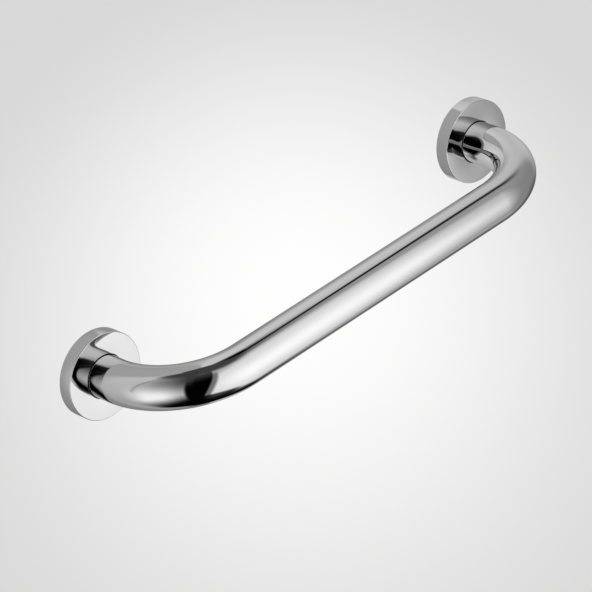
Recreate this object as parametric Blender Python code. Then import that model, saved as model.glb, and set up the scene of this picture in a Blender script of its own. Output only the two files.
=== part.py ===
"""Wall grab rail: a chromed tube with two right-angle bends, bolted to two covered wall flanges.

Metres, +Z up. The wall is the plane Y = 0, the rail stands out towards -Y and runs along X, and
the origin is on the wall, midway between the two fixings. Each fixing has an empty on the wall,
on the axis of the rail's leg, whose +Z points away from the wall. A height is a distance from the
wall along that axis.
"""

from math import cos, pi, radians, sin

import bmesh
import bpy
from mathutils import Vector

MM = 0.001
GAP = 0.3 * MM  # between pieces that touch on the real rail

# the rail
CENTRES = 300 * MM  # between the two fixings
PROJECTION = 67.5 * MM  # wall to the rail's centre line
TUBE_RADIUS = 12.5 * MM
TUBE_WALL = 1.5 * MM
BEND_RADIUS = 50 * MM  # of the centre line
BEND_STEPS = 12
TUBE_SIDES = 32

# the stack at each fixing, from the wall outwards
GASKET_THICKNESS = 1.0 * MM
FLANGE_THICKNESS = 5.0 * MM
FLANGE_BACK = GASKET_THICKNESS + GAP
FLANGE_FRONT = FLANGE_BACK + FLANGE_THICKNESS
TUBE_START = FLANGE_FRONT + GAP
COVER_DEPTH = 9.0 * MM  # wall to the cover's face
COVER_BACK = GAP

GASKET_RADIUS = 23.0 * MM
FLANGE_RADIUS = 23.8 * MM
COVER_RADIUS = 25.5 * MM
COVER_SKIN = 0.9 * MM
COVER_EDGE = 0.4 * MM  # rounding of the cover's front edge
ROUND_SIDES = 48  # of the pieces that go round the tube

# the seal in the flange's rim that holds the cover by friction
SEAL_SECTION = 1.05 * MM
SEAL_RADIUS = 23.3 * MM
SEAL_HEIGHT = FLANGE_BACK + 2.1 * MM
SEAL_SECTION_SIDES = 8
GROOVE_BOTTOM = 22.0 * MM
GROOVE_WIDTH = 2.4 * MM

# the guide ring behind the cover's hole
COVER_HOLE = 13.0 * MM
RING_BORE = 12.8 * MM
RING_RADIUS = 15.2 * MM
RING_THICKNESS = 0.9 * MM

# the plug in the tube's end, and the M8 x 16 countersunk bolt that pulls it to the flange
PLUG_RADIUS = TUBE_RADIUS - TUBE_WALL - 0.4 * MM
PLUG_LENGTH = 10.5 * MM
PLUG_CHAMFER = 0.8 * MM
PLUG_BORE = 4.2 * MM
PLUG_SIDES = 32
BOLT_RADIUS = 4.0 * MM
BOLT_LENGTH = 16.0 * MM
BOLT_HEAD_RADIUS = 8.0 * MM
BOLT_HEAD_RIM = 0.4 * MM
BOLT_BACK = FLANGE_BACK + 0.3 * MM
BOLT_SOCKET = 2.5 * MM  # half of its 5 mm across flats
BOLT_SOCKET_DEPTH = 2.6 * MM
BOLT_SIDES = 24
BOLT_CLEARANCE = 0.2 * MM  # between the head and its countersink

# two pins that stop the flange turning on the plug
PIN_RADIUS = 1.25 * MM
PIN_LENGTH = 6.0 * MM
PIN_CIRCLE = 7.9 * MM  # distance from the leg's axis
PIN_SINK = 2.3 * MM  # into the flange
PIN_CLEARANCE = 0.15 * MM
PIN_CHAMFER = 0.3 * MM
PIN_SIDES = 16

# three 4.8 x 13 countersunk screws through each flange
SCREW_CIRCLE = 18.0 * MM  # distance from the leg's axis
SCREW_RADIUS = 2.4 * MM
SCREW_LENGTH = 13.0 * MM
SCREW_POINT = 4.0 * MM  # length of its tapered point
SCREW_TIP = 0.35 * MM
SCREW_HEAD_RADIUS = 4.45 * MM
SCREW_HEAD_RIM = 0.3 * MM
SCREW_TOP = FLANGE_FRONT - 0.2 * MM
SCREW_HOLE = 2.7 * MM
SCREW_SINK_RADIUS = 5.1 * MM
SCREW_RECESS_DEPTH = 1.7 * MM
SCREW_RECESS_REACH = 2.3 * MM
SCREW_RECESS_WIDTH = 0.5 * MM  # half of each slot's width
SCREW_SIDES = 20

# each fixing: its side of the rail, and the direction of its outer screw
FIXINGS = {"left": (-1, 180), "right": (1, 0)}
SCREW_NAMES = ("outer", "upper", "lower")


def clear_scene():
    for thing in list(bpy.data.objects):
        bpy.data.objects.remove(thing, do_unlink=True)


def material(name, colour, roughness, metallic):
    """A Principled material of one colour."""
    made = bpy.data.materials.new(name)
    made.use_nodes = True
    shader = made.node_tree.nodes["Principled BSDF"]
    shader.inputs["Base Color"].default_value = (*colour, 1)
    shader.inputs["Roughness"].default_value = roughness
    shader.inputs["Metallic"].default_value = metallic
    return made


def add_object(name, data, finish, parent):
    made = bpy.data.objects.new(name, data)
    bpy.context.scene.collection.objects.link(made)
    made.parent = parent
    made.data.materials.append(finish)
    return made


def mesh_object(name, mesh, finish, parent):
    """An object from a bmesh whose faces are turned outwards and shaded smooth up to 30 degrees."""
    bmesh.ops.recalc_face_normals(mesh, faces=mesh.faces)
    data = bpy.data.meshes.new(name)
    mesh.to_mesh(data)
    mesh.free()
    data.shade_smooth()
    data.set_sharp_from_angle(angle=radians(30))
    return add_object(name, data, finish, parent)


def turned(name, outline, sides, finish, parent):
    """A piece turned about its parent's +Z from a closed outline of (radius, height) points.

    An outline that begins and ends on the axis gives a solid piece, any other gives a ring.
    """
    mesh = bmesh.new()
    points = [mesh.verts.new((radius, 0, height)) for radius, height in outline]
    edges = [
        mesh.edges.new((here, there))
        for here, there in zip(points, points[1:] + points[:1])
        if here.co.x or there.co.x
    ]
    bmesh.ops.spin(
        mesh,
        geom=points + edges,
        cent=(0, 0, 0),
        axis=(0, 0, 1),
        angle=2 * pi,
        steps=sides,
        use_merge=True,
    )
    bmesh.ops.remove_doubles(mesh, verts=mesh.verts, dist=1e-7)
    return mesh_object(name, mesh, finish, parent)


def prism(name, outline, low, high, finish, parent):
    """A straight prism along its parent's +Z from an outline of (x, y) points."""
    mesh = bmesh.new()
    base = mesh.faces.new([mesh.verts.new((x, y, low)) for x, y in outline])
    top = bmesh.ops.extrude_face_region(mesh, geom=[base])["geom"]
    moved = [item for item in top if isinstance(item, bmesh.types.BMVert)]
    bmesh.ops.translate(mesh, verts=moved, vec=(0, 0, high - low))
    return mesh_object(name, mesh, finish, parent)


def cut(piece, cutter):
    """Take the cutter's shape out of a piece, and keep the cutter out of the render."""
    cutter.hide_render = True
    cutter.display_type = "WIRE"
    boolean = piece.modifiers.new(cutter.name, "BOOLEAN")
    boolean.operation = "DIFFERENCE"
    boolean.object = cutter


def around(circle, degrees):
    """A place on a circle about the leg's axis."""
    angle = radians(degrees)
    return Vector((circle * cos(angle), circle * sin(angle), 0))


def tube_path():
    """The tube's centre line, from its left end round both bends to its right end."""
    half = CENTRES / 2
    left = [Vector((-half, -TUBE_START, 0))]
    for step in range(BEND_STEPS + 1):
        angle = radians(90) * step / BEND_STEPS
        across = BEND_RADIUS * (1 - cos(angle))
        out = PROJECTION - BEND_RADIUS + BEND_RADIUS * sin(angle)
        left.append(Vector((across - half, -out, 0)))
    right = [Vector((-point.x, point.y, 0)) for point in reversed(left)]
    return left + right


def rail_tube(finish):
    path = tube_path()
    curve = bpy.data.curves.new("rail_tube", "CURVE")
    curve.dimensions = "3D"
    curve.bevel_depth = TUBE_RADIUS
    curve.bevel_resolution = (TUBE_SIDES - 4) // 2
    line = curve.splines.new("POLY")
    line.points.add(len(path) - 1)
    for point, place in zip(line.points, path):
        point.co = (*place, 1)
    line.use_smooth = True
    tube = add_object("rail_tube", curve, finish, None)
    wall = tube.modifiers.new("wall", "SOLIDIFY")
    wall.thickness = TUBE_WALL
    wall.offset = -1


def fixing_centre(side, direction):
    """The empty on the wall, on the leg's axis, that carries one fixing's pieces."""
    centre = bpy.data.objects.new(side + "_fixing", None)
    bpy.context.scene.collection.objects.link(centre)
    centre.location = (direction * CENTRES / 2, 0, 0)
    centre.rotation_euler = (radians(90), 0, 0)
    return centre


def wall_gasket(side, centre, screw_angles, finish):
    outline = [(0, 0), (GASKET_RADIUS, 0), (GASKET_RADIUS, GASKET_THICKNESS), (0, GASKET_THICKNESS)]
    gasket = turned(side + "_wall_gasket", outline, ROUND_SIDES, finish, centre)
    for name, degrees in screw_angles.items():
        hole = turned(
            f"{side}_gasket_hole_{name}",
            [(0, -GAP), (SCREW_HOLE, -GAP), (SCREW_HOLE, FLANGE_BACK), (0, FLANGE_BACK)],
            SCREW_SIDES,
            finish,
            centre,
        )
        hole.location = around(SCREW_CIRCLE, degrees)
        cut(gasket, hole)


def mounting_flange(side, centre, screw_angles, pin_angles, finish):
    """The load-bearing plate, with a groove in its rim, a rear countersink and three front ones."""
    low = SEAL_HEIGHT - GROOVE_WIDTH / 2
    high = SEAL_HEIGHT + GROOVE_WIDTH / 2
    sink = BOLT_HEAD_RADIUS + BOLT_CLEARANCE
    neck = BOLT_RADIUS + BOLT_CLEARANCE
    seat = BOLT_BACK + BOLT_HEAD_RIM
    outline = [
        (sink, FLANGE_BACK),
        (FLANGE_RADIUS, FLANGE_BACK),
        (FLANGE_RADIUS, low),
        (GROOVE_BOTTOM, low),
        (GROOVE_BOTTOM, high),
        (FLANGE_RADIUS, high),
        (FLANGE_RADIUS, FLANGE_FRONT),
        (neck, FLANGE_FRONT),
        (neck, seat + sink - neck),
        (sink, seat),
    ]
    flange = turned(side + "_mounting_flange", outline, ROUND_SIDES, finish, centre)
    over = FLANGE_FRONT + GAP
    cone = SCREW_SINK_RADIUS - SCREW_HOLE
    for name, degrees in screw_angles.items():
        hole = turned(
            f"{side}_flange_hole_{name}",
            [
                (0, 0),
                (SCREW_HOLE, 0),
                (SCREW_HOLE, FLANGE_FRONT - cone),
                (SCREW_SINK_RADIUS + GAP, over),
                (0, over),
            ],
            SCREW_SIDES,
            finish,
            centre,
        )
        hole.location = around(SCREW_CIRCLE, degrees)
        cut(flange, hole)
    for name, degrees in pin_angles.items():
        cut(flange, pin_hole(f"{side}_flange_{name}", centre, degrees, FLANGE_FRONT - PIN_SINK, over, finish))


def pin_hole(name, centre, degrees, low, high, finish):
    radius = PIN_RADIUS + PIN_CLEARANCE
    outline = [(0, low), (radius, low), (radius, high), (0, high)]
    hole = turned(name + "_pin_hole", outline, PIN_SIDES, finish, centre)
    hole.location = around(PIN_CIRCLE, degrees)
    return hole


def end_plug(side, centre, pin_angles, finish):
    low = TUBE_START
    high = TUBE_START + PLUG_LENGTH
    outline = [
        (PLUG_BORE, low),
        (PLUG_RADIUS, low),
        (PLUG_RADIUS, high - PLUG_CHAMFER),
        (PLUG_RADIUS - PLUG_CHAMFER, high),
        (PLUG_BORE, high),
    ]
    plug = turned(side + "_end_plug", outline, PLUG_SIDES, finish, centre)
    bottom = FLANGE_FRONT - PIN_SINK + PIN_LENGTH + GAP
    for name, degrees in pin_angles.items():
        cut(plug, pin_hole(f"{side}_plug_{name}", centre, degrees, FLANGE_FRONT, bottom, finish))


def flange_bolt(side, centre, finish):
    seat = BOLT_BACK + BOLT_HEAD_RIM
    tip = BOLT_BACK + BOLT_LENGTH
    outline = [
        (0, BOLT_BACK),
        (BOLT_HEAD_RADIUS, BOLT_BACK),
        (BOLT_HEAD_RADIUS, seat),
        (BOLT_RADIUS, seat + BOLT_HEAD_RADIUS - BOLT_RADIUS),
        (BOLT_RADIUS, tip - PLUG_CHAMFER),
        (BOLT_RADIUS - PLUG_CHAMFER, tip),
        (0, tip),
    ]
    bolt = turned(side + "_flange_bolt", outline, BOLT_SIDES, finish, centre)
    corners = [around(BOLT_SOCKET / cos(radians(30)), 60 * corner).xy for corner in range(6)]
    bottom = BOLT_BACK + BOLT_SOCKET_DEPTH
    cut(bolt, prism(side + "_bolt_socket", corners, 0, bottom, finish, centre))


def locating_pin(side, centre, name, degrees, finish):
    low = FLANGE_FRONT - PIN_SINK + PIN_CLEARANCE
    high = low + PIN_LENGTH
    outline = [
        (0, low),
        (PIN_RADIUS - PIN_CHAMFER, low),
        (PIN_RADIUS, low + PIN_CHAMFER),
        (PIN_RADIUS, high - PIN_CHAMFER),
        (PIN_RADIUS - PIN_CHAMFER, high),
        (0, high),
    ]
    pin = turned(f"{side}_locating_pin_{name}", outline, PIN_SIDES, finish, centre)
    pin.location = around(PIN_CIRCLE, degrees)


def fixing_screw(side, centre, name, degrees, finish):
    tip = SCREW_TOP - SCREW_LENGTH
    seat = SCREW_TOP - SCREW_HEAD_RIM
    outline = [
        (0, tip),
        (SCREW_TIP, tip),
        (SCREW_RADIUS, tip + SCREW_POINT),
        (SCREW_RADIUS, seat - SCREW_HEAD_RADIUS + SCREW_RADIUS),
        (SCREW_HEAD_RADIUS, seat),
        (SCREW_HEAD_RADIUS, SCREW_TOP),
        (0, SCREW_TOP),
    ]
    screw = turned(f"{side}_fixing_screw_{name}", outline, SCREW_SIDES, finish, centre)
    screw.location = around(SCREW_CIRCLE, degrees)
    near, far = SCREW_RECESS_WIDTH, SCREW_RECESS_REACH
    quarter = [(far, near), (near, near), (near, far)]
    cross = []
    for _ in range(4):
        cross += quarter
        quarter = [(-y, x) for x, y in quarter]
    bottom = SCREW_TOP - SCREW_RECESS_DEPTH
    recess = prism(f"{side}_recess_{name}", cross, bottom, SCREW_TOP + GAP, finish, centre)
    recess.location = screw.location
    cut(screw, recess)


def cover_seal(side, centre, finish):
    """The O-ring in the flange's rim."""
    outline = []
    for corner in range(SEAL_SECTION_SIDES):
        angle = 2 * pi * (corner + 0.5) / SEAL_SECTION_SIDES
        radius = SEAL_RADIUS + SEAL_SECTION * cos(angle)
        outline.append((radius, SEAL_HEIGHT + SEAL_SECTION * sin(angle)))
    turned(side + "_cover_seal", outline, ROUND_SIDES, finish, centre)


def cover(side, centre, finish):
    """The drawn cup over the fixing: straight skirt, flat face, a hole for the guide ring."""
    inside = COVER_RADIUS - COVER_SKIN
    under = COVER_DEPTH - COVER_SKIN
    edge = []
    for step in range(4):
        angle = radians(30) * step
        across = COVER_EDGE * (1 - cos(angle))
        edge.append((COVER_RADIUS - across, COVER_DEPTH - COVER_EDGE * (1 - sin(angle))))
    outline = [(inside, COVER_BACK), (COVER_RADIUS, COVER_BACK), *edge]
    outline += [(COVER_HOLE, COVER_DEPTH), (COVER_HOLE, under), (inside, under)]
    turned(side + "_cover", outline, ROUND_SIDES, finish, centre)


def cover_ring(side, centre, finish):
    """The flat guide ring behind the cover's face, which keeps the cover off the tube."""
    front = COVER_DEPTH - COVER_SKIN - GAP
    outline = [
        (RING_BORE, front - RING_THICKNESS),
        (RING_RADIUS, front - RING_THICKNESS),
        (RING_RADIUS, front),
        (RING_BORE, front),
    ]
    turned(side + "_cover_ring", outline, ROUND_SIDES, finish, centre)


def main():
    clear_scene()
    chrome = material("chrome", (0.80, 0.81, 0.82), 0.03, 1)
    zinc = material("zinc_plate", (0.62, 0.64, 0.66), 0.35, 1)
    brass = material("brass", (0.78, 0.62, 0.30), 0.30, 1)
    stainless = material("stainless", (0.60, 0.60, 0.59), 0.25, 1)
    rubber = material("black_rubber", (0.02, 0.02, 0.02), 0.75, 0)
    nylon = material("black_nylon", (0.03, 0.03, 0.03), 0.40, 0)
    foam = material("grey_foam", (0.25, 0.25, 0.26), 0.90, 0)

    rail_tube(chrome)
    for side, (direction, outward) in FIXINGS.items():
        centre = fixing_centre(side, direction)
        turn = 120 * direction
        screw_angles = dict(zip(SCREW_NAMES, (outward, outward + turn, outward - turn)))
        pin_angles = {"upper": 90, "lower": 270}
        wall_gasket(side, centre, screw_angles, foam)
        mounting_flange(side, centre, screw_angles, pin_angles, zinc)
        end_plug(side, centre, pin_angles, brass)
        flange_bolt(side, centre, zinc)
        for name, degrees in pin_angles.items():
            locating_pin(side, centre, name, degrees, stainless)
        for name, degrees in screw_angles.items():
            fixing_screw(side, centre, name, degrees, stainless)
        cover_seal(side, centre, rubber)
        cover(side, centre, chrome)
        cover_ring(side, centre, nylon)
    bpy.context.view_layer.update()


main()
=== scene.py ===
"""The looks of a chromed wall grab rail: fine meshes, finishes, studio and camera round the CAD frame.

Metres, +Z up, the wall is the plane Y = 0 and the rail stands out towards -Y. Each fixing's pieces are
made about its own axis, whose +Z points away from the wall, so a height is a distance from the wall.
"""

from math import cos, degrees, pi, radians, sin, sqrt

import bmesh
import bpy
from bpy.props import FloatProperty, FloatVectorProperty, IntProperty, PointerProperty
from mathutils import Matrix, Vector


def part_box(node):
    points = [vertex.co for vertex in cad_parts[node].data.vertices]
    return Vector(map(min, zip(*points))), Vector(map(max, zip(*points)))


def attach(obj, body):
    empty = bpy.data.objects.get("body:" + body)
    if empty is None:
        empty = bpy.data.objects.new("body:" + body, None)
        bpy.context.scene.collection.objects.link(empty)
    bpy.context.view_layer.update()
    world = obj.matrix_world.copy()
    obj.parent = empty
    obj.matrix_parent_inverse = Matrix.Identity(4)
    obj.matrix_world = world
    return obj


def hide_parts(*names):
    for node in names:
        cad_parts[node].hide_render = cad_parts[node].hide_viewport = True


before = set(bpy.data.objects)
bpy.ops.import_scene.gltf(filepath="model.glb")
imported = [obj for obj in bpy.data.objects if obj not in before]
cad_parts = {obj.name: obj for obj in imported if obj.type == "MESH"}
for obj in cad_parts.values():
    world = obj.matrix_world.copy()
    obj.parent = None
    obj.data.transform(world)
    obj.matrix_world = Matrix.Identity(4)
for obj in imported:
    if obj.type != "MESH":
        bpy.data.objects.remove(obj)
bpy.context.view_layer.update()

bl_info = {
    "name": "Grab rail looks",
    "version": (1, 0, 0),
    "blender": (4, 5, 0),
    "location": "3D View > Sidebar > Grab rail",
    "description": "Makes the fine pieces, finishes and studio of a chromed wall grab rail",
    "category": "Object",
}

MM = 0.001
SIDES = ("left", "right")
SCREW_NAMES = ("outer", "upper", "lower")
PIN_NAMES = ("upper", "lower")
COVER_GAP = 0.5 * MM  # between the tube and the cover's hole
GUIDE_GAP = 0.3 * MM  # between the tube and the guide ring
SCREW_HOLE = 2.7 * MM  # radius of the flange's and gasket's screw holes
HEAD_RIM = 0.4 * MM  # straight edge of the flange bolt's countersunk head
PIN_GAP = 0.1 * MM  # round each locating pin
SMOOTH_ANGLE = 32  # degrees between two faces, up to which their edge is shaded smooth


# ---------------------------------------------------------------- what the frame says


def stack(node):
    """A turned node's radius, and its lowest and highest height from the wall."""
    low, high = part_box(node)
    return (high.z - low.z) / 2, -high.y, -low.y


def axis_of(node):
    """Where a node's own axis meets the wall."""
    low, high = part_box(node)
    return Vector(((low.x + high.x) / 2, 0, (low.z + high.z) / 2))


TUBE_LOW, TUBE_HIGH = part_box("rail_tube")
TUBE_RADIUS = (TUBE_HIGH.z - TUBE_LOW.z) / 2
PROJECTION = -TUBE_LOW.y - TUBE_RADIUS


# ---------------------------------------------------------------- settings


def length(name, description, default):
    """A setting in metres."""
    return FloatProperty(
        name=name, description=description, default=default, min=0, unit="LENGTH", precision=5
    )


def number(name, description, default):
    """A setting with no unit."""
    return FloatProperty(name=name, description=description, default=default, min=0)


def colour(name, description, default):
    """A linear colour setting."""
    return FloatVectorProperty(
        name=name, description=description, default=default, subtype="COLOR", size=3, min=0, max=1
    )


def turn(name, description, default):
    """An angle setting, its default in degrees."""
    return FloatProperty(name=name, description=description, default=radians(default), subtype="ANGLE")


class RailSizes(bpy.types.PropertyGroup):
    """Sizes of the fine pieces that the CAD boxes don't give."""

    tube_wall: length("Tube wall", "Thickness of the tube", 1.5 * MM)
    bend_radius: length("Bend radius", "Of the tube's centre line", 50 * MM)
    tube_sides: IntProperty(name="Tube sides", description="Facets round the tube", default=160, min=24)
    bend_steps: IntProperty(name="Bend steps", description="Rings in each bend", default=60, min=12)
    cover_skin: length("Cover skin", "Thickness of the covers' metal", 0.9 * MM)
    cover_edge: length("Cover edge", "Rounding of the covers' front edge", 0.45 * MM)
    cover_hem: length("Cover hem", "Rounding of the covers' back edge", 0.2 * MM)
    thread_pitch: length("Bolt pitch", "Pitch of the flange bolt's thread", 1.25 * MM)
    screw_pitch: length("Screw pitch", "Pitch of the fixing screws' thread", 1.6 * MM)
    round_sides: IntProperty(
        name="Round sides", description="Facets of the pieces round the tube", default=144, min=24
    )


class RailFinishes(bpy.types.PropertyGroup):
    """Colours of the finishes."""

    chrome: colour("Chrome", "Polished chrome plate", (0.66, 0.66, 0.66))
    plate: colour("Plate", "Unpolished plate inside the covers", (0.58, 0.575, 0.56))
    zinc: colour("Zinc", "Clear zinc plating", (0.56, 0.58, 0.61))
    brass: colour("Brass", "Turned brass", (0.74, 0.57, 0.27))
    stainless: colour("Stainless", "Screws and pins", (0.62, 0.61, 0.59))
    rubber: colour("Rubber", "Seals", (0.018, 0.018, 0.019))
    nylon: colour("Nylon", "Guide rings", (0.012, 0.012, 0.013))
    foam: colour("Foam", "Wall gaskets", (0.115, 0.115, 0.12))


class RailStudio(bpy.types.PropertyGroup):
    """Camera, floor and light."""

    azimuth: turn("Azimuth", "Camera's direction, from straight in front towards the right", -39.5)
    elevation: turn("Elevation", "Camera's height above the horizon", 30.1)
    roll: turn("Roll", "Camera's turn about its own line of sight", -10.2)
    distance: length("Distance", "Camera to the point it looks at", 1.94)
    aim_x: FloatProperty(
        name="Aim X", description="Point looked at, along the rail", default=-0.028, unit="LENGTH"
    )
    aim_z: FloatProperty(
        name="Aim Z", description="Point looked at, upwards", default=-0.0054, unit="LENGTH"
    )
    lens: FloatProperty(name="Lens", description="Focal length in millimetres", default=210.5, min=1)
    floor_drop: length("Floor drop", "Floor below the rail's centre", 0.45)
    floor_tone: number("Floor tone", "Brightness at the middle", 0.99)
    floor_fade: number("Floor fade", "Loss of brightness at the rim", 0.30)
    light: number("Light", "Strength of the studio", 1.0)
    reach: length("Reach", "Distance of the studio lights from the rail", 0.8)


# ---------------------------------------------------------------- node maths


class Value:
    """A node socket that maths can be written on: each operator adds a Math node."""

    def __init__(self, graph, socket):
        self.graph = graph
        self.socket = socket

    def output(self, name):
        """Another output of the same node."""
        return Value(self.graph, self.socket.node.outputs[name])

    def math(self, operation, *others):
        """A Math node with this value in its first socket."""
        sockets = dict(enumerate((self, *others)))
        return self.graph.node("Math", sockets, operation=operation)

    def __add__(self, other):
        return self.math("ADD", other)

    def __sub__(self, other):
        return self.math("SUBTRACT", other)

    def __mul__(self, other):
        return self.math("MULTIPLY", other)

    def __truediv__(self, other):
        return self.math("DIVIDE", other)

    def __pow__(self, other):
        return self.math("POWER", other)

    def __rsub__(self, other):
        return self.graph.node("Math", {0: other, 1: self}, operation="SUBTRACT")

    def __rtruediv__(self, other):
        return self.graph.node("Math", {0: other, 1: self}, operation="DIVIDE")

    __radd__ = __add__
    __rmul__ = __mul__

    def smooth(self, low, high):
        """0 below low, 1 above high, and a smooth rise between them."""
        ends = {"Value": self, "From Min": low, "From Max": high, "To Min": 0.0, "To Max": 1.0}
        return self.graph.node("MapRange", ends, interpolation_type="SMOOTHSTEP")

    def past(self, edge, soft):
        """1 past an edge this soft, and 0 before it."""
        return self.smooth(edge - soft / 2, edge + soft / 2)

    def short_of(self, edge, soft):
        """1 before an edge this soft, and 0 past it."""
        return 1 - self.past(edge, soft)

    def window(self, low, high, soft):
        """1 between two edges this soft, and 0 outside them."""
        return self.past(low, soft) * self.short_of(high, soft)

    def hump(self, centre, width):
        """A smooth hill of height 1."""
        off = (self - centre) / width
        return (off * off * -1.0).math("EXPONENT")

    def towards(self, other, amount):
        """This value moved towards another by an amount from 0 to 1."""
        return self + (other - self) * amount


class Graph:
    """A node tree that values are worked out in."""

    def __init__(self, tree):
        self.tree = tree
        tree.nodes.clear()

    def node(self, kind, sockets=None, output=0, **settings):
        """Adds a node: its settings first, then a value or a link for each named socket."""
        made = self.tree.nodes.new("ShaderNode" + kind)
        for name, setting in settings.items():
            setattr(made, name, setting)
        for name, value in (sockets or {}).items():
            if isinstance(value, Value):
                self.tree.links.new(value.socket, made.inputs[name])
            else:
                made.inputs[name].default_value = value
        return Value(self, made.outputs[output]) if made.outputs else None

    def blend(self, amount, first, second):
        """A colour between two, each a colour or a value."""
        pair = {0: amount, 6: rgba(first), 7: rgba(second)}
        return self.node("Mix", pair, output=2, data_type="RGBA", clamp_factor=True)

    def place(self):
        """The surface point in the piece's own axes, as a vector value."""
        return self.node("TexCoord", output="Object")

    def parts(self, vector):
        """A vector's X, Y and Z."""
        x = self.node("SeparateXYZ", {0: vector})
        return x, x.output("Y"), x.output("Z")

    def noise(self, vector, scale, detail=2.0, roughness=0.5, distortion=0.0):
        sockets = {"Vector": vector, "Scale": scale, "Detail": detail}
        sockets |= {"Roughness": roughness, "Distortion": distortion}
        return self.node("TexNoise", sockets, output="Fac")

    def stretched(self, vector, scale):
        """A vector scaled by a different amount along each axis."""
        return self.node("VectorMath", {0: vector, 1: scale}, operation="MULTIPLY")

    def glow(self, red, green, blue):
        """A shader that gives off light."""
        return self.node("Emission", {"Color": self.node("CombineColor", {0: red, 1: green, 2: blue})})

    def bump(self, height, distance, strength):
        return self.node("Bump", {"Height": height, "Distance": distance, "Strength": strength})


def rgba(shade):
    """A colour with the fourth channel that a socket wants, or a value as it is."""
    return shade if isinstance(shade, Value) else (*shade, 1)


def shaded(shade, factor):
    """A colour made lighter or darker."""
    return tuple(min(1.0, channel * factor) for channel in shade)


# ---------------------------------------------------------------- finishes


def finish(build, colour_name):
    """A material named after its builder, made once: build(graph, colour) gives its shader's sockets."""
    name = build.__name__
    if name in bpy.data.materials:
        return bpy.data.materials[name]
    made = bpy.data.materials.new(name)
    made.use_nodes = True
    graph = Graph(made.node_tree)
    shade = tuple(getattr(bpy.context.scene.rail_finishes, colour_name))
    shader = graph.node("BsdfPrincipled", build(graph, shade))
    graph.node("OutputMaterial", {"Surface": shader})
    return made


def polished_chrome(graph, shade):
    """Mirror plate with a very faint polishing haze and a slow drift of tone."""
    place = graph.place()
    drift = graph.noise(place, 9.0, 2.0)
    haze = graph.noise(graph.stretched(place, (140.0, 900.0, 900.0)), 1.0, 3.0, 0.6)
    wipes = graph.noise(place, 34.0, 4.0, 0.55, 1.2).smooth(0.52, 0.74)
    ripple = graph.noise(place, 26.0, 1.0)
    return {
        "Base Color": graph.blend(drift.smooth(0.3, 0.7), shaded(shade, 0.985), shaded(shade, 1.01)),
        "Metallic": 1.0,
        "Specular Tint": rgba(shade),
        "Roughness": 0.012 + haze.smooth(0.35, 0.8) * 0.012 + wipes * 0.012,
        "Normal": graph.bump(ripple, 0.02 * MM, 0.25),
    }


def raw_plate(graph, shade):
    """Satin plate where the polishing wheel doesn't reach, with drawing marks round the skirt."""
    place = graph.place()
    _, _, height = graph.parts(place)
    blotch = graph.noise(place, 90.0, 4.0, 0.6)
    marks = graph.noise(graph.stretched(place, (60.0, 60.0, 5200.0)), 1.0, 2.0)
    edge = height.smooth(0.0, 4 * MM)
    return {
        "Base Color": graph.blend(blotch.smooth(0.3, 0.75), shaded(shade, 0.82), shaded(shade, 1.1)),
        "Metallic": 1.0,
        "Roughness": 0.30 + blotch * 0.14 + edge * 0.06,
        "Normal": graph.bump(marks, 0.03 * MM, 0.5),
    }


def zinc_plate(graph, shade):
    """Turned steel under clear zinc: fine rings, a frosted grain and a slight straw and blue tint."""
    place = graph.place()
    across, along, _ = graph.parts(place)
    radius = (across * across + along * along).math("SQRT")
    feed = 0.42 * MM
    rings = (radius * (2 * pi / feed) + graph.noise(place, 700.0, 1.0) * 2.2).math("SINE")
    grain = graph.noise(place, 1500.0, 2.0, 0.7)
    tint = graph.noise(place, 95.0, 2.0, 0.5, 0.6)
    cool = (shade[0] * 0.93, shade[1] * 0.99, min(1.0, shade[2] * 1.10))
    warm = (min(1.0, shade[0] * 1.10), shade[1] * 1.04, shade[2] * 0.88)
    rub = graph.noise(place, 240.0, 3.0, 0.6, 2.0).smooth(0.56, 0.70)
    base = graph.blend(tint.smooth(0.38, 0.66), cool, warm)
    return {
        "Base Color": graph.blend(rub * 0.6, base, shaded(shade, 0.70)),
        "Metallic": 1.0,
        "Roughness": 0.26 + grain * 0.16 + rub * 0.14,
        "Normal": graph.bump(rings * 0.5 + grain * 0.35, 0.016 * MM, 0.8),
    }


def turned_brass(graph, shade):
    """Turned brass with tool rings along its length and a little brown tarnish."""
    place = graph.place()
    _, _, height = graph.parts(place)
    feed = 0.3 * MM
    rings = (height * (2 * pi / feed) + graph.noise(place, 500.0, 1.0) * 1.6).math("SINE")
    tarnish = graph.noise(place, 210.0, 4.0, 0.6).smooth(0.48, 0.75)
    brown = (shade[0] * 0.55, shade[1] * 0.45, shade[2] * 0.38)
    return {
        "Base Color": graph.blend(tarnish * 0.55, shade, brown),
        "Metallic": 1.0,
        "Roughness": 0.22 + tarnish * 0.25,
        "Normal": graph.bump(rings, 0.012 * MM, 0.7),
    }


def screw_steel(graph, shade):
    """Rolled stainless steel: bright crests, roots darker by painted shade and rougher, smut, fine
    scratches along the rolling.
    """
    place = graph.place()
    across, along, height = graph.parts(place)
    radius = (across * across + along * along).math("SQRT")
    # painted shade: darker and rougher towards the axis, inside 2.3 mm, standing for the shade in the
    # thread roots
    root = 1 - radius.smooth(1.6 * MM, 2.3 * MM)
    in_wall = 1 - height.smooth(5.5 * MM, 6.2 * MM)
    scratch = graph.noise(graph.stretched(place, (900.0, 900.0, 9000.0)), 1.0, 3.0, 0.65)
    smut = graph.noise(place, 420.0, 3.0, 0.6)
    # dull: random smut plus the painted shade in the thread roots, both kept below 5.5 mm from the wall
    dull = (root * 0.45 + smut.smooth(0.55, 0.8) * 0.35) * in_wall
    return {
        "Base Color": graph.blend(dull, shade, shaded(shade, 0.45)),
        "Metallic": 1.0,
        "Roughness": 0.17 + scratch * 0.14 + dull * 0.25,
        "Normal": graph.bump(scratch, 0.01 * MM, 0.6),
    }


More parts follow.
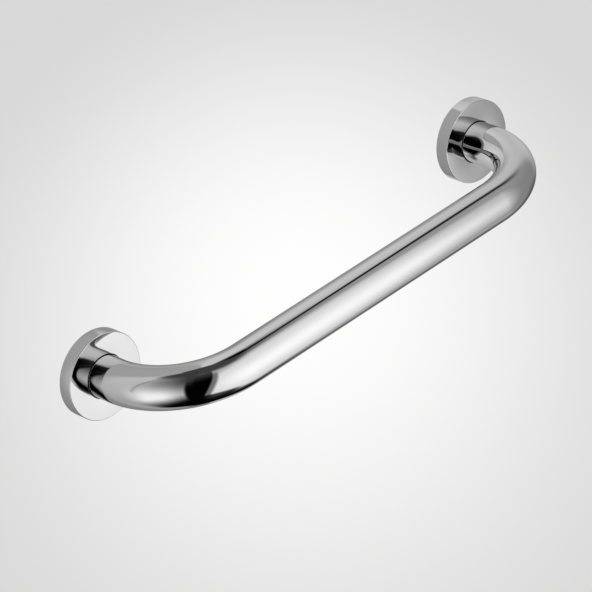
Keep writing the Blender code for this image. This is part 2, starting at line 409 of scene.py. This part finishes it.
def seal_rubber(graph, shade):
    """Moulded rubber with a matt bloom and a few specks of talc."""
    place = graph.place()
    skin = graph.noise(place, 2600.0, 3.0, 0.7)
    bloom = graph.noise(place, 160.0, 3.0, 0.6)
    talc = graph.node("TexVoronoi", {"Vector": place, "Scale": 900.0}, feature="F1")
    dust = (1 - talc.smooth(0.05, 0.16)) * bloom.smooth(0.5, 0.75)
    base = graph.blend(bloom.smooth(0.3, 0.8), shade, (0.045, 0.045, 0.047))
    return {
        "Base Color": graph.blend(dust * 0.25, base, (0.32, 0.32, 0.31)),
        "Roughness": 0.62 + skin * 0.22,
        "Normal": graph.bump(skin, 0.02 * MM, 0.6),
    }


def ring_nylon(graph, shade):
    """Moulded nylon with a fine spark texture and a faint scuff."""
    place = graph.place()
    spark = graph.noise(place, 3200.0, 2.0, 0.6)
    scuff = graph.noise(graph.stretched(place, (300.0, 300.0, 3000.0)), 1.0, 3.0, 0.6).smooth(0.58, 0.78)
    return {
        "Base Color": graph.blend(scuff * 0.6, shade, (0.06, 0.06, 0.062)),
        "Roughness": 0.36 + spark * 0.16 + scuff * 0.15,
        "Normal": graph.bump(spark, 0.012 * MM, 0.5),
    }


def gasket_foam(graph, shade):
    """Closed-cell foam rubber: small round pores in a matt skin, darkened inside by painted shade."""
    place = graph.place()
    cells = graph.node("TexVoronoi", {"Vector": place, "Scale": 1500.0, "Randomness": 0.9}, feature="F1")
    shaded_pore = 1 - cells.smooth(0.10, 0.42)
    patch = graph.noise(place, 260.0, 3.0, 0.6)
    base = graph.blend(patch.smooth(0.3, 0.75), shaded(shade, 0.85), shaded(shade, 1.25))
    return {
        # painted shade: the base colour darkens inside the pores
        "Base Color": graph.blend(shaded_pore * 0.65, base, shaded(shade, 0.35)),
        "Roughness": 0.82 + patch * 0.12,
        "Normal": graph.bump(1 - shaded_pore, 0.1 * MM, 0.8),
    }


# ---------------------------------------------------------------- meshes


def arc(centre, radius, first, last, steps=6):
    """Points of an arc in an outline, from one direction in degrees to another."""
    points = []
    for step in range(steps + 1):
        angle = radians(first + (last - first) * step / steps)
        points.append((centre[0] + radius * cos(angle), centre[1] + radius * sin(angle)))
    return points


def turned(outline, sides, ring=False, wind=None):
    """A bmesh turned about +Z from (radius, height) points, listed up the outside.

    A ring's outline closes on itself. Any other begins and ends on the axis. wind(radius, height, turn)
    may move a point in or out, where turn goes from 0 to 1 round the axis.
    """
    mesh = bmesh.new()
    rows = []
    for radius, height in outline:
        if radius == 0:
            rows.append([mesh.verts.new((0, 0, height))])
            continue
        row = []
        for side in range(sides):
            share = side / sides
            reach = wind(radius, height, share) if wind else radius
            angle = 2 * pi * share
            row.append(mesh.verts.new((reach * cos(angle), reach * sin(angle), height)))
        rows.append(row)
    pairs = list(zip(rows, rows[1:]))
    if ring:
        pairs.append((rows[-1], rows[0]))
    for below, above in pairs:
        for side in range(sides):
            after = (side + 1) % sides
            corners = [below[side % len(below)], below[after % len(below)]]
            corners += [above[after % len(above)], above[side % len(above)]]
            mesh.faces.new(list(dict.fromkeys(corners)))
    return mesh


def prism(outline, low, high, taper=1.0):
    """A bmesh prism along +Z from (x, y) points, its lower end drawn in by the taper."""
    mesh = bmesh.new()
    floor = [mesh.verts.new((x * taper, y * taper, low)) for x, y in outline]
    roof = [mesh.verts.new((x, y, high)) for x, y in outline]
    mesh.faces.new(floor)
    mesh.faces.new(roof)
    count = len(outline)
    for corner in range(count):
        after = (corner + 1) % count
        mesh.faces.new((floor[corner], floor[after], roof[after], roof[corner]))
    return mesh


def mesh_data(name, mesh, smooth_angle=SMOOTH_ANGLE):
    """Mesh data from a bmesh, with its faces turned outwards and its shading smooth up to an angle."""
    bmesh.ops.recalc_face_normals(mesh, faces=mesh.faces)
    data = bpy.data.meshes.new(name)
    mesh.to_mesh(data)
    mesh.free()
    data.shade_smooth()
    data.set_sharp_from_angle(angle=radians(smooth_angle))
    return data


def add_object(name, data):
    made = bpy.data.objects.new(name, data)
    bpy.context.scene.collection.objects.link(made)
    return made


def on_leg(obj, node):
    """Puts a piece on its node's axis, with its +Z away from the wall."""
    obj.matrix_world = Matrix.Translation(axis_of(node)) @ Matrix.Rotation(radians(90), 4, "X")


def stand_for(obj, node, body, slot, *materials):
    """Gives a piece its finish and its CAD body, and hides the CAD node it stands for. The slot is not
    used.
    """
    for material in materials:
        obj.data.materials.append(material)
    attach(obj, body)
    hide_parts(node)


def places_of(side, kind, names):
    """Where a fixing's screws or pins stand, in the fixing's own axes."""
    foot = axis_of(side + "_mounting_flange")
    places = []
    for name in names:
        away = axis_of(f"{side}_{kind}_{name}") - foot
        places.append(Matrix.Translation((away.x, away.z, 0)))
    return places


def turned_cutters(outline, sides, places):
    """A cutter turned from an outline at each place."""
    cutters = []
    for place in places:
        cutter = add_object("cutter", mesh_data("cutter", turned(outline, sides)))
        cutter.matrix_world = place
        cutters.append(cutter)
    return cutters


def drill(obj, cutters):
    """Takes the cutters' shapes out of a piece and removes them."""
    for cutter in cutters:
        boolean = obj.modifiers.new("cut", "BOOLEAN")
        boolean.operation = "DIFFERENCE"
        boolean.solver = "EXACT"
        boolean.object = cutter
    bpy.context.view_layer.update()
    data = bpy.data.meshes.new_from_object(obj.evaluated_get(bpy.context.evaluated_depsgraph_get()))
    obj.modifiers.clear()
    obj.data = data
    for cutter in cutters:
        bpy.data.objects.remove(cutter, do_unlink=True)
    data.shade_smooth()
    data.set_sharp_from_angle(angle=radians(SMOOTH_ANGLE))


# ---------------------------------------------------------------- the rail


def bend_point(angle, bend):
    """Centre-line point and direction of travel at an angle round the left bend."""
    half = axis_of("left_cover").x
    point = Vector((half + bend * (1 - cos(angle)), -(PROJECTION - bend) - bend * sin(angle), 0))
    return point, Vector((sin(angle), -cos(angle), 0))


def rail_line(bend, steps):
    """Centre-line points and directions from the tube's left end to its right end."""
    start = -TUBE_HIGH.y
    left = [(Vector((axis_of("left_cover").x, -start, 0)), Vector((0, -1, 0)))]
    for step in range(steps + 1):
        left.append(bend_point(radians(90) * step / steps, bend))
    right = []
    for point, direction in reversed(left):
        right.append((Vector((-point.x, point.y, 0)), Vector((direction.x, -direction.y, 0))))
    return left + right


def tube_mesh(sizes):
    """The hollow tube as one closed skin: outside, rounded lip, bore, and lip again."""
    line = rail_line(sizes.bend_radius, sizes.bend_steps)
    bore = TUBE_RADIUS - sizes.tube_wall
    lip = 0.25 * MM
    rings = [(line[0], TUBE_RADIUS - lip, 0.0), (line[0], TUBE_RADIUS, lip)]
    rings += [(place, TUBE_RADIUS, 0.0) for place in line[1:-1]]
    rings += [(line[-1], TUBE_RADIUS, -lip), (line[-1], TUBE_RADIUS - lip, 0.0), (line[-1], bore, 0.0)]
    rings += [(place, bore, 0.0) for place in reversed(line[1:-1])]
    rings.append((line[0], bore, 0.0))
    mesh = bmesh.new()
    rows = []
    for (point, direction), radius, shift in rings:
        across = direction.cross(Vector((0, 0, 1)))
        row = []
        for side in range(sizes.tube_sides):
            angle = 2 * pi * side / sizes.tube_sides
            spoke = across * cos(angle) + Vector((0, 0, 1)) * sin(angle)
            row.append(mesh.verts.new(point + direction * shift + spoke * radius))
        rows.append(row)
    for near, far in zip(rows, rows[1:] + rows[:1]):
        for side in range(sizes.tube_sides):
            after = (side + 1) % sizes.tube_sides
            mesh.faces.new((near[side], near[after], far[after], far[side]))
    return mesh


# ---------------------------------------------------------------- operators


class RailOperator(bpy.types.Operator):
    """Shared by the operators that make pieces"""

    bl_options = {"REGISTER", "UNDO"}

    @property
    def sizes(self):
        return bpy.context.scene.rail_sizes


class RAIL_OT_tube(RailOperator):
    """Make the polished tube with its two bends"""

    bl_idname = "rail.make_tube"
    bl_label = "Make tube"

    def execute(self, context):
        tube = add_object("tube", mesh_data("tube", tube_mesh(self.sizes), 40))
        stand_for(tube, "rail_tube", "root", "chrome", finish(polished_chrome, "chrome"))
        return {"FINISHED"}


class RAIL_OT_covers(RailOperator):
    """Make the two round covers and the dark guide rings in their holes"""

    bl_idname = "rail.make_covers"
    bl_label = "Make covers"

    def cover(self, side):
        sizes = self.sizes
        radius, back, face = stack(side + "_cover")
        hole = TUBE_RADIUS + COVER_GAP
        skin, edge, hem = sizes.cover_skin, sizes.cover_edge, sizes.cover_hem
        inner_edge = 0.35 * MM
        hole_edge = 0.12 * MM
        outline = arc((radius - hem, back + hem), hem, -90, 0)
        outline += arc((radius - edge, face - edge), edge, 0, 90, 10)
        outline += arc((hole + hole_edge, face - hole_edge), hole_edge, 90, 180)
        outline.append((hole, face - skin))
        outline += arc((radius - skin - inner_edge, face - skin - inner_edge), inner_edge, 90, 0)
        outline.append((radius - skin, back + hem / 2))
        shell = turned(outline, sizes.round_sides, ring=True)
        cover = add_object(side + "_cover_shell", mesh_data("cover", shell))
        on_leg(cover, side + "_cover")
        chrome = finish(polished_chrome, "chrome")
        plate = finish(raw_plate, "plate")
        stand_for(cover, side + "_cover", side + "_cover_body", "chrome", chrome, plate)
        allowance = 0.02 * MM
        for polygon in cover.data.polygons:
            x, y, height = polygon.center
            under_face = height < face - skin + allowance
            if under_face and sqrt(x * x + y * y) < radius - skin + allowance:
                polygon.material_index = 1

    def guide(self, side):
        """A flat ring behind the cover's face, with a thin lip that stands in the gap round the tube."""
        radius, low, high = stack(side + "_cover_ring")
        bore = TUBE_RADIUS + GUIDE_GAP
        bead, corner = 0.35 * MM, 0.2 * MM
        outline = arc((bore + bead, low + bead), bead, 180, 270)
        outline += arc((radius - corner, low + corner), corner, -90, 0)
        outline += arc((radius - corner, high - corner), corner, 0, 90)
        lip_outside, lip_inside = TUBE_RADIUS + 0.42 * MM, bore - 0.08 * MM
        top, soft = high + 1.05 * MM, 0.05 * MM
        outline += [(lip_outside, high), (lip_outside, top - soft), (lip_outside - soft, top)]
        outline += [(lip_inside + soft, top), (lip_inside, top - soft)]
        whole = turned(outline, self.sizes.round_sides, ring=True)
        ring = add_object(side + "_guide_ring", mesh_data("guide", whole))
        on_leg(ring, side + "_cover_ring")
        nylon = finish(ring_nylon, "nylon")
        stand_for(ring, side + "_cover_ring", side + "_cover_slider", "ring_nylon", nylon)

    def execute(self, context):
        for side in SIDES:
            self.cover(side)
            self.guide(side)
        return {"FINISHED"}


class RAIL_OT_flanges(RailOperator):
    """Make the two wall flanges with the seals in their rims, and the wall gaskets"""

    bl_idname = "rail.make_flanges"
    bl_label = "Make flanges"

    def flange(self, side):
        node = side + "_mounting_flange"
        radius, low, high = stack(node)
        seal_radius, seal_low, seal_high = stack(side + "_cover_seal")
        head_radius, head_low, _ = stack(side + "_flange_bolt")
        bottom = seal_radius - (seal_high - seal_low) - 0.35 * MM
        groove_low, groove_high = seal_low - 0.2 * MM, seal_high + 0.2 * MM
        sink, neck = head_radius + 0.2 * MM, 4.2 * MM
        seat = head_low + HEAD_RIM
        chamfer = 0.35 * MM
        outline = [(sink, low), (radius - chamfer, low), (radius, low + chamfer), (radius, groove_low)]
        outline += [(bottom, groove_low), (bottom, groove_high), (radius, groove_high)]
        outline += [(radius, high - chamfer), (radius - chamfer, high)]
        outline += [(neck, high), (neck, seat + sink - neck), (sink, seat)]
        whole = turned(outline, self.sizes.round_sides, ring=True)
        flange = add_object(side + "_flange_plate", mesh_data("flange", whole))
        countersink, over = 5.1 * MM, high + MM
        cone = [(0, low - MM), (SCREW_HOLE, low - MM), (SCREW_HOLE, high - countersink + SCREW_HOLE)]
        cone += [(countersink + MM, over), (0, over)]
        pin, pin_low, _ = stack(side + "_locating_pin_upper")
        hole, floor = pin + PIN_GAP, pin_low - 0.2 * MM
        blind = [(0, floor), (hole, floor), (hole, over), (0, over)]
        cutters = turned_cutters(cone, 48, places_of(side, "fixing_screw", SCREW_NAMES))
        cutters += turned_cutters(blind, 48, places_of(side, "locating_pin", PIN_NAMES))
        drill(flange, cutters)
        on_leg(flange, node)
        stand_for(flange, node, "root", "flange_zinc", finish(zinc_plate, "zinc"))

    def seal(self, side):
        """An O-ring, a little fuller than the CAD one, with the mould's flash on its parting line."""
        node = side + "_cover_seal"
        radius, low, high = stack(node)
        section = (high - low) / 2 * 1.06
        centre = (radius - section, (low + high) / 2)
        points, flash = 28, 0.03 * MM
        outline = []
        for step in range(points):
            angle = 2 * pi * step / points
            on_parting_line = step % (points // 2) == 0
            reach = section if on_parting_line else section - flash
            outline.append((centre[0] + reach * cos(angle), centre[1] + reach * sin(angle)))
        whole = turned(outline, self.sizes.round_sides, ring=True)
        seal = add_object(side + "_seal", mesh_data("seal", whole, 60))
        on_leg(seal, node)
        stand_for(seal, node, "root", "seal_rubber", finish(seal_rubber, "rubber"))

    def gasket(self, side):
        node = side + "_wall_gasket"
        radius, low, high = stack(node)
        soft = 0.3 * MM
        outline = [(0, low)] + arc((radius - soft, low + soft), soft, -90, 0, 4)
        outline += arc((radius - soft, high - soft), soft, 0, 90, 4) + [(0, high)]
        gasket = add_object(side + "_gasket", mesh_data("gasket", turned(outline, self.sizes.round_sides)))
        punch = [(0, low - MM), (SCREW_HOLE, low - MM), (SCREW_HOLE, high + MM), (0, high + MM)]
        drill(gasket, turned_cutters(punch, 36, places_of(side, "fixing_screw", SCREW_NAMES)))
        on_leg(gasket, node)
        stand_for(gasket, node, "root", "gasket_foam", finish(gasket_foam, "foam"))

    def execute(self, context):
        for side in SIDES:
            self.flange(side)
            self.seal(side)
            self.gasket(side)
        return {"FINISHED"}


def thread(pitch, depth, low, high, run_out):
    """A winding for a turned shank: a helical groove, sharp at its crest and flat at its root."""

    def wind(radius, height, share):
        phase = ((height - low) / pitch - share) % 1.0
        groove = min(1.0, abs(phase - 0.5) * 2.6)
        fade = min(1.0, max(0.0, (height - low) / run_out), max(0.0, (high - height) / run_out))
        return radius - depth * groove * fade

    return wind


def shank_rows(radius, low, high, pitch):
    """Rows up a threaded shank, ten to each turn of the thread."""
    rows = max(2, round((high - low) / pitch * 10))
    return [(radius, low + (high - low) * row / rows) for row in range(rows + 1)]


class RAIL_OT_plugs(RailOperator):
    """Make the plugs in the tube's ends, the flange bolts and the locating pins"""

    bl_idname = "rail.make_plugs"
    bl_label = "Make plugs"

    def plug(self, side):
        node = side + "_end_plug"
        radius, low, high = stack(node)
        bore, mouth, chamfer, pitch = 4.2 * MM, 0.6 * MM, 0.8 * MM, self.sizes.thread_pitch
        corner, groove = 0.3 * MM, 0.25 * MM
        outline = [(bore + mouth, low), (radius - corner, low), (radius, low + corner)]
        for height in (low + 3 * MM, low + 5 * MM, low + 7 * MM):
            outline += [(radius, height), (radius - groove, height + groove)]
            outline += [(radius - groove, height + 3 * groove), (radius, height + 4 * groove)]
        outline += [(radius, high - chamfer), (radius - chamfer, high), (bore + mouth, high)]
        outline += list(reversed(shank_rows(bore, low + mouth, high - mouth, pitch)))
        tapping = thread(pitch, -0.45 * MM, low, high, pitch)

        def wind(at_radius, height, share):
            in_bore = at_radius < bore + 0.01 * MM
            return tapping(at_radius, height, share) if in_bore else at_radius

        plug = add_object(side + "_plug", mesh_data("plug", turned(outline, 72, ring=True, wind=wind)))
        pin, _, pin_high = stack(side + "_locating_pin_upper")
        hole, under = pin + PIN_GAP, low - MM
        blind = [(0, under), (hole, under), (hole, pin_high + 0.3 * MM), (0, pin_high + 0.6 * MM)]
        drill(plug, turned_cutters(blind, 36, places_of(side, "locating_pin", PIN_NAMES)))
        on_leg(plug, node)
        stand_for(plug, node, "root", "plug_brass", finish(turned_brass, "brass"))

    def bolt(self, side):
        node = side + "_flange_bolt"
        head, low, high = stack(node)
        shank, pitch = 3.95 * MM, self.sizes.thread_pitch
        seat = low + HEAD_RIM
        neck = seat + head - shank
        point, edge = 0.9 * MM, 0.15 * MM
        tip = high - point
        outline = [(0, low), (head - edge, low), (head, low + edge), (head, seat), (shank, neck)]
        outline += shank_rows(shank, neck + 0.6 * MM, tip, pitch) + [(shank - point, high), (0, high)]
        cut = thread(pitch, 0.66 * MM, neck + 0.4 * MM, tip + pitch, pitch)

        def wind(at_radius, height, share):
            return cut(at_radius, height, share) if height > neck else at_radius

        bolt = add_object(side + "_bolt", mesh_data("bolt", turned(outline, 64, wind=wind)))
        across_corners = 2.5 * MM / cos(radians(30))
        hexagon = arc((0, 0), across_corners, 0, 300, 5)
        drill(bolt, [add_object("cutter", mesh_data("cutter", prism(hexagon, low - MM, low + 2.6 * MM)))])
        on_leg(bolt, node)
        stand_for(bolt, node, "root", "bolt_zinc", finish(zinc_plate, "zinc"))

    def pin(self, side, name):
        node = f"{side}_locating_pin_{name}"
        radius, low, high = stack(node)
        dome = 0.3 * MM
        outline = [(0, low)] + arc((radius - dome, low + dome), dome, -90, 0, 4)
        outline += arc((radius - dome, high - dome), dome, 0, 90, 4) + [(0, high)]
        pin = add_object(f"{side}_pin_{name}", mesh_data("pin", turned(outline, 40)))
        on_leg(pin, node)
        stand_for(pin, node, "root", "pin_steel", finish(screw_steel, "stainless"))

    def execute(self, context):
        for side in SIDES:
            self.plug(side)
            self.bolt(side)
            for name in PIN_NAMES:
                self.pin(side, name)
        return {"FINISHED"}


class RAIL_OT_screws(RailOperator):
    """Make the six countersunk fixing screws with their threads and cross recesses"""

    bl_idname = "rail.make_screws"
    bl_label = "Make screws"

    def screw(self, side, name):
        node = f"{side}_fixing_screw_{name}"
        head, low, high = stack(node)
        shank, pitch = 2.4 * MM, self.sizes.screw_pitch
        point, rim = 4.0 * MM, 0.3 * MM
        seat = high - rim
        neck = seat - head + shank
        edge, thinnest, blunt, steps = 0.12 * MM, 0.12 * MM, 0.12, 25
        outline = [(0, low)]
        for step in range(1, steps + 1):
            share = step / steps
            outline.append((shank * (blunt + (1 - blunt) * share), low + point * share))
        outline += shank_rows(shank, low + point, neck, pitch)[1:]
        outline += [(head - 0.1 * MM, seat - 0.1 * MM), (head, seat), (head, high - edge)]
        outline += [(head - edge, high), (0, high)]
        cut = thread(pitch, 0.78 * MM, low - pitch, neck + 0.4 * MM, pitch * 0.7)

        def wind(at_radius, height, share):
            return max(thinnest, cut(at_radius, height, share)) if height < neck else at_radius

        screw = add_object(f"{side}_screw_{name}", mesh_data("screw", turned(outline, 56, wind=wind), 38))
        near, far = 0.5 * MM, 2.3 * MM
        quarter = [(far, near), (near * 1.5, near * 1.5), (near, far)]
        cross = []
        for _ in range(4):
            cross += quarter
            quarter = [(-y, x) for x, y in quarter]
        recess = prism(cross, high - 1.7 * MM, high + 0.3 * MM, 0.55)
        drill(screw, [add_object("cutter", mesh_data("cutter", recess))])
        on_leg(screw, node)
        stand_for(screw, node, "root", "screw_stainless", finish(screw_steel, "stainless"))

    def execute(self, context):
        for side in SIDES:
            for name in SCREW_NAMES:
                self.screw(side, name)
        return {"FINISHED"}


# ---------------------------------------------------------------- the studio


# The studio is a pattern of light on the inside of a ball round the rail. Its tones run from 0, black,
# to 1, white, as they show on a screen. Directions are in degrees: azimuth 0 is straight out from the
# wall and 90 is to the right, and elevation 0 is level and 90 is straight up.

DARKEST = 0.04
SCREEN_GAMMA = 2.2


def left_tone(azimuth, elevation):
    """The left side and back of the studio."""
    tone = 0.555 + elevation.smooth(-30, 60) * 0.05
    tone = tone + azimuth.window(-128, -94, 16) * (0.07 + elevation.smooth(-40, -5) * 0.045)

    # the softbox on the left: brightest just below the horizon, greyer upwards, black downwards
    rest = 0.28 - (azimuth + 60) * 0.0085
    bright = 0.94 - azimuth.smooth(-72, -50) * 0.26
    above = rest.towards(bright, elevation.hump(-9, 38))
    foot = elevation - (azimuth + 76).math("MAXIMUM", -13) * 0.42
    softbox = (foot.smooth(-64, -14) * (bright - 0.03) + 0.03).towards(above, elevation.past(-9, 3))
    tone = tone.towards(softbox, azimuth.past(-95, 26) * azimuth.short_of(0, 5))
    frame_edge = azimuth.hump(-95, 1.6) * elevation.window(4, 70, 10)
    tone = tone - frame_edge * 0.12

    # the dark ceiling, the dark ground and the unlit gap right of the softbox
    ceiling = (azimuth + elevation * 1.7).past(2.5, 26) * elevation.smooth(56, 74)
    ceiling = ceiling * azimuth.short_of(123, 24)
    tone = tone.towards(0.24, ceiling.math("MAXIMUM", elevation.past(80, 3)))
    ground = elevation.short_of(-62, 14) * azimuth.past(-101, 18) * azimuth.short_of(107, 36)
    tone = tone.towards(0.045, ground.math("MAXIMUM", elevation.short_of(-82, 7)))
    return tone.towards(DARKEST + elevation.smooth(8, 58) * 0.2, azimuth.window(-50.4, 90, 4))


def front_tone(azimuth, elevation):
    """The front and right side of the studio."""
    # the grey side of the room on the right
    tone = 0.63 - azimuth.smooth(50, 65) * 0.125 + azimuth.smooth(86, 114) * 0.16
    away_from_level = (elevation + 3).math("ABSOLUTE").smooth(8, 32)
    tone = tone + azimuth.smooth(118, 134) * (away_from_level * 0.1 - 0.055)
    tone = tone + azimuth.window(98, 128, 10) * elevation.hump(2, 17) * 0.12
    tone = tone + azimuth.window(38, 84, 14) * elevation.short_of(-42, 16) * 0.1
    tone = tone + (elevation + 5).math("ABSOLUTE").smooth(10, 50) * 0.056
    low_shade = azimuth.smooth(80, 105) * azimuth.short_of(123, 10) * elevation.short_of(-22, 16)
    tone = tone - low_shade * 0.26

    # the dark ceiling and the dark ground
    ceiling = elevation.smooth(55, 72) * azimuth.short_of(123, 24)
    tone = tone.towards(0.25, ceiling.math("MAXIMUM", elevation.past(79.5, 3)))
    ground = elevation.short_of(-63, 11) * azimuth.short_of(107, 36)
    glow = 0.05 + azimuth.hump(25, 43) * elevation.smooth(-84, -60) * 0.27
    tone = tone.towards(glow, ground.math("MAXIMUM", elevation.short_of(-82, 7)))

    # the leaning black panel, the grey strip beside it and the spill of light on the floor
    leaning = azimuth - elevation * 0.165
    panel = leaning.short_of(-29, 3) * elevation.short_of(68, 20)
    strip = leaning.short_of(-22.6, 5) * elevation.short_of(54, 24)
    tone = tone.towards(0.44, strip)
    tone = tone.towards(DARKEST + elevation.smooth(25, 62) * 0.19, panel)
    spill = azimuth.smooth(-42, -20) * elevation.smooth(-80, -45)
    tone = tone.towards(DARKEST + spill * 0.23, elevation.short_of(-37, 6) * azimuth.short_of(10, 20))

    # the large softbox in front: leaning left side, flared right side, sloping foot and top
    flare = (elevation.math("ABSOLUTE") - 20).math("MAXIMUM", 0) * 0.227
    sides = leaning.past(-22.6, 5) * (azimuth - flare).short_of(44, 22)
    foot = (elevation - (22 - azimuth).math("MAXIMUM", 0) * 0.384).past(-59, 11)
    top = (elevation + (14 - azimuth).math("MAXIMUM", 0) * 0.42).short_of(56, 21)
    shine = 0.815 + elevation.hump(-5, 38) * azimuth.hump(15, 39) * 0.175
    tone = tone.towards(shine, sides * foot * top)

    # a dark stand on the right with its boom above
    stand = (azimuth.hump(91, 6.5) * 1.2).math("MINIMUM", 1)
    stand = stand * elevation.smooth(20, 60) * elevation.short_of(74, 10)
    boom = azimuth.window(86, 113, 12) * elevation.window(64, 76, 7)
    return tone.towards(0.02, stand.math("MAXIMUM", boom))


class RAIL_OT_stage(RailOperator):
    """Make the floor, the studio that the chrome reflects, the lamps and the camera"""

    bl_idname = "rail.make_stage"
    bl_label = "Make stage"

    def camera_axes(self, studio):
        """The camera's right, up and backward directions."""
        a, e, r = studio.azimuth, studio.elevation, studio.roll
        back = Vector((sin(a) * cos(e), -cos(a) * cos(e), sin(e)))
        level = Vector((cos(a), sin(a), 0))
        rise = back.cross(level)
        return level * cos(r) + rise * sin(r), rise * cos(r) - level * sin(r), back

    def camera(self, context, studio):
        right, up, back = self.camera_axes(studio)
        aim = Vector((studio.aim_x, -PROJECTION / 2, studio.aim_z))
        data = bpy.data.cameras.new("camera")
        data.lens = studio.lens
        data.sensor_width = 36
        data.clip_start, data.clip_end = 0.05, 50
        camera = add_object("camera", data)
        turned_to = Matrix((right, up, back)).transposed().to_4x4()
        camera.matrix_world = Matrix.Translation(aim + back * studio.distance) @ turned_to
        context.scene.camera = camera
        return aim, back

    def floor(self, studio, aim, back):
        """A pale floor that glows, with a painted soft pool of light, seen from above only."""
        half_width, pool_share, even_share = 6.0, 0.121, 0.05
        drop = -studio.floor_drop
        reach = (aim.z - drop) / back.z
        middle = aim - back * reach
        mesh = bmesh.new()
        bmesh.ops.create_grid(mesh, x_segments=24, y_segments=24, size=half_width)
        floor = add_object("floor", mesh_data("floor", mesh))
        below = Matrix.Translation((middle.x, middle.y, drop))
        floor.matrix_world = below @ Matrix.Rotation(studio.azimuth, 4, "Z")
        floor.visible_glossy = False
        floor.visible_diffuse = False
        floor.visible_shadow = False
        made = bpy.data.materials.new("pale_floor")
        made.use_nodes = True
        graph = Graph(made.node_tree)
        across, along, _ = graph.parts(graph.place())
        along = along * sin(studio.elevation)
        radius = (across * across + along * along).math("SQRT")
        rim = (studio.distance + reach) * pool_share
        # painted pool of light: the floor's glow is brightest at the middle and fades towards the rim
        tone = studio.floor_tone - radius.smooth(rim * even_share, rim) * studio.floor_fade
        glow = graph.glow(tone, tone, tone * 0.998)
        clear = graph.node("BsdfTransparent")
        under = graph.node("NewGeometry", output="Backfacing")
        graph.node("OutputMaterial", {"Surface": graph.node("MixShader", {0: under, 1: glow, 2: clear})})
        floor.data.materials.append(made)

    def dome(self, context, studio):
        """The studio round the rail, seen only in polished pieces."""
        mesh = bmesh.new()
        bmesh.ops.create_uvsphere(mesh, u_segments=180, v_segments=90, radius=studio.reach)
        dome = add_object("studio_dome", mesh_data("dome", mesh))
        dome.location = (0, -PROJECTION / 2, 0)
        for hidden_from in ("camera", "diffuse", "transmission", "volume_scatter", "shadow"):
            setattr(dome, "visible_" + hidden_from, False)
        made = bpy.data.materials.new("studio_lights")
        made.use_nodes = True
        made.cycles.emission_sampling = "NONE"
        graph = Graph(made.node_tree)
        x, y, z = graph.parts(graph.node("VectorMath", {0: graph.place()}, operation="NORMALIZE"))
        azimuth = x.math("ARCTAN2", y * -1.0) * degrees(1)
        elevation = z.math("ARCSINE") * degrees(1)
        plate = sum(context.scene.rail_finishes.chrome) / 3
        in_front = azimuth.window(-43, 150, 5)
        tone = left_tone(azimuth, elevation).towards(front_tone(azimuth, elevation), in_front)
        light = tone.math("MAXIMUM", 0) ** SCREEN_GAMMA * (studio.light / plate)
        graph.node("OutputMaterial", {"Surface": graph.glow(light, light, light)})
        dome.data.materials.append(made)

    def world(self, context, studio):
        """Plain pale grey all round, for the camera and for the dull pieces."""
        world = bpy.data.worlds.new("studio")
        world.use_nodes = True
        context.scene.world = world
        graph = Graph(world.node_tree)
        grey = studio.floor_tone - studio.floor_fade
        even = graph.node("Background", {"Color": (grey, grey, grey, 1)})
        graph.node("OutputWorld", {"Surface": even})

    def lamp(self, name, place, size, power):
        """A soft lamp for the dull pieces, kept out of the chrome."""
        data = bpy.data.lights.new(name, "AREA")
        data.shape = "DISK"
        data.size = size
        data.energy = power
        lamp = add_object(name, data)
        lamp.location = place
        lamp.rotation_euler = (-Vector(place)).to_track_quat("-Z", "Y").to_euler()
        lamp.visible_glossy = False

    def execute(self, context):
        studio = context.scene.rail_studio
        aim, back = self.camera(context, studio)
        self.floor(studio, aim, back)
        self.dome(context, studio)
        self.world(context, studio)
        self.lamp("key_lamp", (-0.9, -1.4, 1.6), 1.2, 18)
        self.lamp("back_lamp", (0.8, 1.5, 1.0), 1.2, 12)
        context.scene.view_settings.view_transform = "Standard"
        return {"FINISHED"}


class RAIL_PT_sidebar(bpy.types.Panel):
    """Lists the rail's operators and settings"""

    bl_label = "Grab rail"
    bl_space_type = "VIEW_3D"
    bl_region_type = "UI"
    bl_category = "Grab rail"

    def draw(self, context):
        for operator in OPERATORS:
            self.layout.operator(operator.bl_idname)
        for title in ("Sizes", "Finishes", "Studio"):
            box = self.layout.box()
            box.label(text=title)
            settings = getattr(context.scene, "rail_" + title.lower())
            for name in settings.__annotations__:
                box.prop(settings, name)


OPERATORS = (RAIL_OT_tube, RAIL_OT_covers, RAIL_OT_flanges, RAIL_OT_plugs, RAIL_OT_screws, RAIL_OT_stage)
CLASSES = (RailSizes, RailFinishes, RailStudio, *OPERATORS, RAIL_PT_sidebar)


def register():
    for item in CLASSES:
        bpy.utils.register_class(item)
    bpy.types.Scene.rail_sizes = PointerProperty(type=RailSizes)
    bpy.types.Scene.rail_finishes = PointerProperty(type=RailFinishes)
    bpy.types.Scene.rail_studio = PointerProperty(type=RailStudio)


def unregister():
    del bpy.types.Scene.rail_studio
    del bpy.types.Scene.rail_finishes
    del bpy.types.Scene.rail_sizes
    for item in reversed(CLASSES):
        bpy.utils.unregister_class(item)


def main():
    register()
    bpy.ops.rail.make_stage()
    bpy.ops.rail.make_tube()
    bpy.ops.rail.make_covers()
    bpy.ops.rail.make_flanges()
    bpy.ops.rail.make_plugs()
    bpy.ops.rail.make_screws()


if __name__ == "__main__":
    main()
